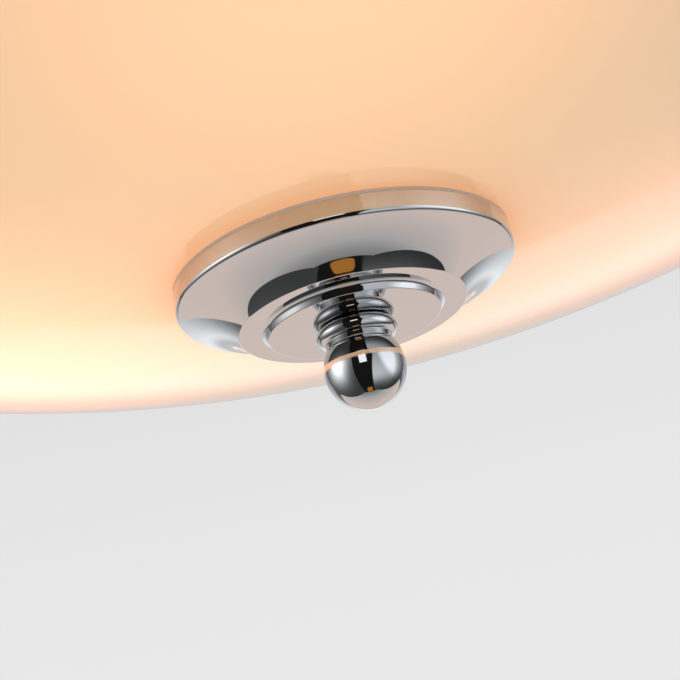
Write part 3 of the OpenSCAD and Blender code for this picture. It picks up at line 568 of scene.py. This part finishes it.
# ---- Hub -----------------------------------------------------------------------------------------
# Turned brass cup and cover, chromed, clamped on the rod by a washer and a nut. The arms are
# screwed into its wall, and a porcelain ring inside joins the leads.

hub_r, hub_wall, hub_floor, hub_foot_r = 27, 2, 3, 8
hub_bottom = -148
hub_well_w = 5.2
cover_t, cover_lip, cover_lip_t, cover_edge_h, cover_slope_w = 2, 3, 2, 0.6, 1.4
spigot_h, hub_fit = 3, 0.3
rod_hole_r = 5.3
bm, end = start_line(rod_hole_r, hub_bottom)
foot_c = (hub_r - hub_foot_r, hub_bottom + hub_foot_r)
end = draw_line(bm, end, foot_c[0], hub_bottom)
end = draw_arc(bm, end, foot_c, 90, steps=16)
wall_r = hub_r - hub_wall
for r, z in (
    (hub_r, hub_top - cover_t),
    (wall_r, hub_top - cover_t),
    (wall_r, foot_c[1]),
    (foot_c[0] + hub_well_w, hub_bottom + hub_floor),
    (rod_hole_r, hub_bottom + hub_floor),
    (rod_hole_r, hub_bottom),
):
    end = draw_line(bm, end, r, z)
hold_lines(bm, distance=0.1)
turn_piece(bm, steps=128)
make_piece("hub_cup", bm, chrome, "fixed_frame", "chrome", "hub_body")
cover_low = hub_top - cover_t
lip_r = wall_r - hub_fit
spigot_r = stem_bore_r - hub_fit
bm, end = start_line(rod_hole_r, cover_low)
for r, z in (
    (lip_r - cover_lip_t, cover_low),
    (lip_r - cover_lip_t, cover_low - cover_lip),
    (lip_r, cover_low - cover_lip),
    (lip_r, cover_low),
    (hub_r, cover_low),
    (hub_r, cover_low + cover_edge_h),
    (hub_r - cover_slope_w, hub_top),
    (spigot_r, hub_top),
    (spigot_r, hub_top + spigot_h),
    (rod_hole_r, hub_top + spigot_h),
    (rod_hole_r, cover_low),
):
    end = draw_line(bm, end, r, z)
bmesh.ops.remove_doubles(bm, verts=bm.verts, dist=1e-5)
round_corners(bm, list(bm.verts), radius=0.15, segments=3)
hold_lines(bm, distance=0.08)
turn_piece(bm, steps=128)
make_piece("hub_lid", bm, chrome, "fixed_frame", "chrome", "hub_cover")
finish_nodes(zinc_steel, "hub_washer", "hub_nut")

# Porcelain: pressed and fired without glaze, chalky and warm white, with dark specks from the kiln
porcelain, tree, place = new_material("unglazed_porcelain")
chalk = noise(tree, place, 700, 4)
white = laid_over(tree, chalk, hex_colour("#E6E0D3"), hex_colour("#F1ECE1"))
speck = add_node(tree, "TexVoronoi", {"Vector": place, "Scale": 300}).outputs["Distance"]
speck = mapped(tree, speck, (0.05, 0.12))
specked = laid_over(tree, speck, hex_colour("#8C8375"), white)
rough_skin = bumped(tree, chalk, 0.2, 0.0002)
surface(tree, {
    "Base Color": specked, "Roughness": 0.62, "IOR": 1.5, "Normal": rough_skin,
})
finish_nodes(porcelain, "connector_ring")


# ---- Arms ----------------------------------------------------------------------------------------
# Three short threaded steel tubes, each clamped in the hub's wall by a nut inside and outside, and
# screwed into the back of its lampholder.

finish_nodes(zinc_steel, "arm_1", "arm_2", "arm_3", "arm_nuts")


# ---- Leads ---------------------------------------------------------------------------------------
# Stranded copper in coloured insulation, 1.9 mm thick: brown, blue and green with yellow, from the
# terminal block down the rod to the hub, and brown and blue from there to each lampholder.

# Soft PVC: satin, with slow waves from the drawing, about 5.6 mm apart. On the earth lead they are
# sharp yellow stripes.
for name, dark, light, nodes in (
    ("brown_pvc", "#4B2A17", "#5D3721", ("feed_live", "lamp_live_leads")),
    ("blue_pvc", "#1D4C9A", "#2B60B4", ("feed_neutral", "lamp_neutral_leads")),
    ("green_and_yellow_pvc", "#3F8A24", "#E0CE2E", ("feed_earth",)),
):
    pvc, tree, place = new_material(name)
    waves = add_node(tree, "TexWave", {
        "Vector": place, "Scale": 64, "Distortion": 1.0,
    }, wave_type="BANDS", bands_direction="DIAGONAL").outputs["Fac"]
    stripe = mapped(tree, waves, (0.55, 0.65))
    pattern = stripe if "feed_earth" in nodes else waves
    drawn = laid_over(tree, pattern, hex_colour(dark), hex_colour(light))
    surface(tree, {"Base Color": drawn, "Roughness": 0.38, "IOR": 1.53})
    finish_nodes(pvc, *nodes)


# ---- Lampholders ---------------------------------------------------------------------------------
# White moulded urea resin in two halves that screw together round a porcelain core. The core
# carries the thin brass screw shell and the sprung brass contact.

# Urea resin: dense glossy white, a little yellow from the bulbs' heat, with faint flow marks
urea_resin, tree, place = new_material("moulded_urea_resin")
marks = noise(tree, place, 55, 3, Distortion=1.2)
warm_white = laid_over(tree, marks, hex_colour("#ECE9E0"), hex_colour("#F4F2EB"))
press = mapped(tree, marks, target=(0.16, 0.28))
surface(tree, {"Base Color": warm_white, "Roughness": press, "IOR": 1.55})
for lamp in ("1", "2", "3"):
    finish_nodes(urea_resin, "holder_cap_" + lamp, "holder_skirt_" + lamp)
    finish_nodes(porcelain, "holder_core_" + lamp)
    finish_nodes(brass, "screw_shell_" + lamp)
finish_nodes(brass, "centre_contacts")


# ---- Bulbs ---------------------------------------------------------------------------------------
# Blown glass with a white powder coat inside, cemented into a drawn aluminium cap with a rolled
# thread. Black glass insulates the contact at its foot. They screw into the holders and are lit.

lamp_z = -130
lamp_angles = (35, 155, 275)
bulb_middle = 129.6
bulb_r, bulb_t = 30, 1
cap_r, cap_wall, cap_foot, cap_end, cap_lip_r = 13.2, 0.5, 59.6, 81.6, 10.4
neck_r, flare_r = 12.6, 40
flare_turn = math.degrees(math.acos((neck_r + flare_r) / (bulb_r + flare_r)))
flare_c = (neck_r + flare_r, bulb_middle - (bulb_r + flare_r) * math.sin(math.radians(flare_turn)))
glass_end = cap_end - 3
cone_h, cone_bore_h, cap_rings = 1.6, 1.85, 62
cap_pitch, cap_thread_depth, run_in_h = 3.63, 0.95, 1.2
thread_from, thread_to = cap_foot + 2.2, cap_end - 3.5

# Coated glass of a lit bulb: it glows evenly, pale where the filament is near and more orange
# towards the neck, under a glossy skin
lit_glass, tree, place = new_material("lit_coated_glass")
flat_place = add_node(tree, "VectorMath", {0: place, 1: (1, 1, 0)}, operation="MULTIPLY").outputs[0]
from_axis = add_node(tree, "VectorMath", {0: flat_place}, operation="LENGTH").outputs["Value"]
to_end = mapped(tree, from_axis, (0.078, 0.135), soft=True)
coat = noise(tree, place, 40, 2)
coat = mapped(tree, coat, target=(0.92, 1.04))
bulb_glow = laid_over(tree, to_end, hex_colour("#F2BE86"), hex_colour("#FFEBCB"))
surface(tree, {
    "Base Color": hex_colour("#B8B4AC"), "Roughness": 0.10, "IOR": 1.5,
    "Emission Color": bulb_glow, "Emission Strength": coat,
})

# Drawn aluminium: silver grey, with brighter and duller patches of about 2 mm
aluminium, tree, place = new_material("drawn_aluminium")
streaks = noise(tree, place, 420, 3)
silver = laid_over(tree, streaks, hex_colour("#C2C3C3"), hex_colour("#D6D6D4"))
satin = mapped(tree, streaks, target=(0.22, 0.36))
surface(tree, {"Base Color": silver, "Metallic": 1.0, "Roughness": satin})

# Black glass: poured round the contact, shiny, with small ripples
black_glass, tree, place = new_material("black_glass")
pour = noise(tree, place, 200, 1)
black = laid_over(tree, pour, hex_colour("#0E0E0F"), hex_colour("#1B1A19"))
ripples = bumped(tree, pour, 0.1, 0.0005)
surface(tree, {"Base Color": black, "Roughness": 0.10, "IOR": 1.55, "Normal": ripples})

for lamp, angle in zip(("1", "2", "3"), lamp_angles):
    body = "bulb_" + lamp
    lay = (
        Matrix.Rotation(math.radians(angle), 4, "Z")
        @ Matrix.Translation((0, 0, lamp_z))
        @ Matrix.Rotation(math.pi / 2, 4, "Y")
    )
    bm, end = start_line(neck_r, glass_end)
    end = draw_line(bm, end, neck_r, flare_c[1])
    end = draw_arc(bm, end, flare_c, -flare_turn, steps=16)
    end = draw_arc(bm, end, (0, bulb_middle), 90 + flare_turn, steps=40)
    end = draw_line(bm, end, 0, bulb_middle + bulb_r - bulb_t)
    end = draw_arc(bm, end, (0, bulb_middle), -90 - flare_turn, steps=24)
    end = draw_arc(bm, end, flare_c, flare_turn, steps=12)
    end = draw_line(bm, end, neck_r - bulb_t, glass_end)
    draw_line(bm, end, neck_r, glass_end)
    turn_piece(bm, steps=64)
    bmesh.ops.transform(bm, matrix=lay, verts=bm.verts)
    make_piece("bulb_envelope_" + lamp, bm, lit_glass, body, "bulb_glass", "bulb_glass_" + lamp)

    # The cap's wall has a ring every third of a millimetre, and the thread is rolled into it
    bm, end = start_line(cap_lip_r, cap_foot)
    end = draw_line(bm, end, cap_lip_r + cap_wall / 2, cap_foot - 2 * cap_wall)
    end = draw_line(bm, end, cap_r, cap_foot + cone_h)
    wall_h, bore_h = cap_end - cap_foot - cone_h, cap_end - cap_foot - cone_bore_h
    for k in range(1, cap_rings + 1):
        end = draw_line(bm, end, cap_r, cap_foot + cone_h + wall_h * k / cap_rings)
    for k in range(cap_rings + 1):
        end = draw_line(bm, end, cap_r - cap_wall, cap_end - bore_h * k / cap_rings)
    draw_line(bm, end, cap_lip_r, cap_foot)
    turn_piece(bm, steps=48)
    for v in bm.verts:
        into_thread = min(v.co.z - thread_from, thread_to - v.co.z) / run_in_h
        run_in = max(0.0, min(1.0, into_thread))
        if run_in > 0:
            wave = math.cos(2 * math.pi * v.co.z / cap_pitch - math.atan2(v.co.y, v.co.x))
            inward = 0.5 * cap_thread_depth * (1 - wave) * run_in
            v.co.xy *= 1 - inward / v.co.xy.length
    bmesh.ops.transform(bm, matrix=lay, verts=bm.verts)
    make_piece("rolled_cap_" + lamp, bm, aluminium, body, "bulb_cap_metal", "bulb_cap_" + lamp)
    finish_nodes(black_glass, "bulb_base_" + lamp)


# ---- Glass bowl ----------------------------------------------------------------------------------
# Blown opal glass, 4.5 mm thick: a shallow bottom, a round shoulder and a rim ground smooth. It
# rests on the rosette's edge. The light of the lamps inside is painted on it as a glow, brightest
# where they come near.

bowl_curve_r = 590
bowl_pole = -200
glass_t = 4.5
shoulder_r = 45
bowl_r = 250
shoulder_cr = bowl_r - shoulder_r
rim_turn = 32
bowl_hole_r = 7
bowl_cz = bowl_pole + bowl_curve_r
bottom_span = math.degrees(math.asin(shoulder_cr / (bowl_curve_r - shoulder_r)))
shoulder_cz = bowl_cz - (bowl_curve_r - shoulder_r) * math.cos(math.radians(bottom_span))
inner_r = bowl_curve_r - glass_t
hole_outer = math.degrees(math.asin(bowl_hole_r / bowl_curve_r))
hole_inner = math.degrees(math.asin(bowl_hole_r / inner_r))
rim_c = (
    shoulder_cr + (shoulder_r - glass_t / 2) * math.cos(math.radians(rim_turn)),
    shoulder_cz + (shoulder_r - glass_t / 2) * math.sin(math.radians(rim_turn)),
)
hole_low = bowl_cz - bowl_curve_r * math.cos(math.radians(hole_outer))
bm, end = start_line(bowl_hole_r, hole_low)
end = draw_arc(bm, end, (0, bowl_cz), bottom_span - hole_outer, steps=40)
end = draw_arc(bm, end, (shoulder_cr, shoulder_cz), 90 - bottom_span + rim_turn, steps=36)
end = draw_arc(bm, end, rim_c, 180, steps=10)
end = draw_arc(bm, end, (shoulder_cr, shoulder_cz), bottom_span - 90 - rim_turn, steps=36)
end = draw_arc(bm, end, (0, bowl_cz), hole_inner - bottom_span, steps=40)
draw_line(bm, end, bowl_hole_r, hole_low)
turn_piece(bm, steps=192)

# Opal glass: white glass with a fire-polished skin. The lamps' light through it is painted into its
# emission as a glow: a broad painted bright spot over each lamp, painted shade close to the
# rosette, where it is more orange, and a pinker shoulder. Its glow is fitted to what the photograph
# shows.
lamp_share = (1.0, 2.35, 0.71)
lamp_out = 0.145
patch_spread = 0.068
shade_from, shade_width = 0.050, 0.0092
opal_glass, tree, place = new_material("opal_glass")
flat_place = add_node(tree, "VectorMath", {0: place, 1: (1, 1, 0)}, operation="MULTIPLY").outputs[0]
# Painted light: a broad bright spot over each lamp, where its light comes through the glass
painted_lamp_light = 0.0
for angle, share in zip(lamp_angles, lamp_share):
    spot = (lamp_out * math.cos(math.radians(angle)), lamp_out * math.sin(math.radians(angle)), 0)
    away = add_node(tree, "VectorMath", {
        0: flat_place, 1: spot,
    }, operation="DISTANCE").outputs["Value"]
    square = maths(tree, "POWER", away, 2.0)
    fall = maths(tree, "MULTIPLY", square, -0.5 / patch_spread**2)
    painted_light_spot = maths(tree, "EXPONENT", fall)
    painted_lamp_light = maths(tree, "MULTIPLY_ADD", painted_light_spot, share, painted_lamp_light)
# Painted shade close to the rosette, where the painted glow turns more orange
axis_away = add_node(tree, "VectorMath", {0: flat_place}, operation="LENGTH").outputs["Value"]
from_rosette = maths(tree, "SUBTRACT", axis_away, shade_from)
shade_fall = maths(tree, "MULTIPLY", from_rosette, -1 / shade_width)
shade_raw = maths(tree, "EXPONENT", shade_fall)
shade = maths(tree, "MINIMUM", shade_raw, 1.0)
painted_base_glow = laid_over(tree, shade, (0.345, 0.24, 0.055, 1), (0.38, 0.155, 0.0, 1))
# Painted glow pinker towards the shoulder and a little cooler on the right side
to_rim = mapped(tree, axis_away, (0.14, 0.24), soft=True)
painted_base_glow = laid_over(tree, to_rim, painted_base_glow, (0.46, 0.23, 0.12, 1))
side_x = add_node(tree, "SeparateXYZ", {"Vector": place}).outputs["X"]
cooler = mapped(tree, side_x, (0.04, 0.16))
painted_base_glow = add_node(tree, "VectorMath", {
    0: (-0.06, -0.035, 0.03), 1: cooler, 2: painted_base_glow,
}, operation="MULTIPLY_ADD").outputs[0]
painted_glow = add_node(tree, "VectorMath", {
    0: (0.763, 0.257, 0.152), 1: painted_lamp_light, 2: painted_base_glow,
}, operation="MULTIPLY_ADD").outputs[0]
gloss = add_node(tree, "Fresnel", {"IOR": 1.5}).outputs[0]
through = maths(tree, "SUBTRACT", 1.0, gloss)
ripple = bumped(tree, noise(tree, place, 14, 1.5), 0.02, 0.004)
surface(tree, {
    "Base Color": hex_colour("#9A9692"), "Roughness": 0.07, "IOR": 1.5, "Normal": ripple,
    "Emission Color": painted_glow, "Emission Strength": through,
})
make_piece("bowl_glass", bm, opal_glass, "bowl", "opal_glass", "bowl")


# ---- Clamping of the glass -----------------------------------------------------------------------
# A zinc-plated steel plate presses on the glass from inside through a rubber ring, stopped by a nut
# on the rod. A nylon bush centres the glass, and a second rubber ring lies on the rosette's wall.

finish_nodes(zinc_steel, "seat_plate", "stop_nut")

# Silicone rubber: pale grey and matt, with dust caught in its skin
silicone, tree, place = new_material("silicone_rubber")
dust = noise(tree, place, 350, 4)
grey = laid_over(tree, dust, hex_colour("#BAB8B0"), hex_colour("#C9C7BF"))
soft = bumped(tree, dust, 0.1, 0.0003)
surface(tree, {"Base Color": grey, "Roughness": 0.6, "IOR": 1.43, "Normal": soft})
finish_nodes(silicone, "bowl_gasket", "rosette_gasket")
finish_nodes(polyamide, "bowl_bush")


# ---- Rosette -------------------------------------------------------------------------------------
# Spun brass pan, polished and chromed: a wall that carries the glass, a rounded edge, a hollow, a
# flat ledge, a bevel and a flat mirror face with the hole for the rod.

rosette_top = -199.145
rosette_depth = 17.6
bm, corners = pan_section(
    rim_r=50.2, depth=rosette_depth, edge_r=1.3, face_r=24.8, hole_r=rod_hole_r, top=rosette_top,
)
round_corners(bm, corners, radius=0.18, segments=4)
hold_lines(bm, distance=0.08)
turn_piece(bm, steps=192)
make_piece("rosette_pan", bm, chrome, "bowl", "chrome", "rosette")


# ---- Finial --------------------------------------------------------------------------------------
# Turned brass, polished and chromed, with a threaded blind hole. A fat bead, a thin collar and a
# ball whose lower half runs to a soft point. It screws onto the rod and carries rosette and bowl.

face_z = rosette_top - rosette_depth
bead_r, bead_h = 11.9, 4.9
collar_r, collar_h = 9.8, 1.7
ball_r, ball_tip = 11.9, 12.5
ball_z = face_z - bead_h - collar_h - math.sqrt(ball_r**2 - collar_r**2)
tip_shift = (ball_tip**2 - ball_r**2) / (2 * ball_r)
bore_r, bore_depth = 5.05, 15.0
bead_c = bead_r - bead_h / 2
bm, end = start_line(bore_r, face_z)
end = draw_line(bm, end, bead_c, face_z)
collar_meets = math.degrees(math.asin((collar_r - bead_c) / (bead_h / 2)))
end = draw_arc(bm, end, (bead_c, face_z - bead_h / 2), collar_meets - 180, steps=32)
corners = [end, draw_line(bm, end, collar_r, face_z - bead_h - collar_h)]
from_top = math.degrees(math.asin(collar_r / ball_r))
end = draw_arc(bm, corners[1], (0, ball_z), from_top - 90, steps=28)
tip_r = ball_r + tip_shift
end = draw_arc(bm, end, (-tip_shift, ball_z), -math.degrees(math.acos(tip_shift / tip_r)), steps=40)
end = draw_line(bm, end, 0, face_z - bore_depth)
end = draw_line(bm, end, bore_r, face_z - bore_depth)
draw_line(bm, end, bore_r, face_z)
round_corners(bm, corners, radius=0.1, segments=3)
hold_lines(bm, distance=0.06)
turn_piece(bm, steps=160)
make_piece("finial_turning", bm, chrome, "finial", "chrome", "finial")
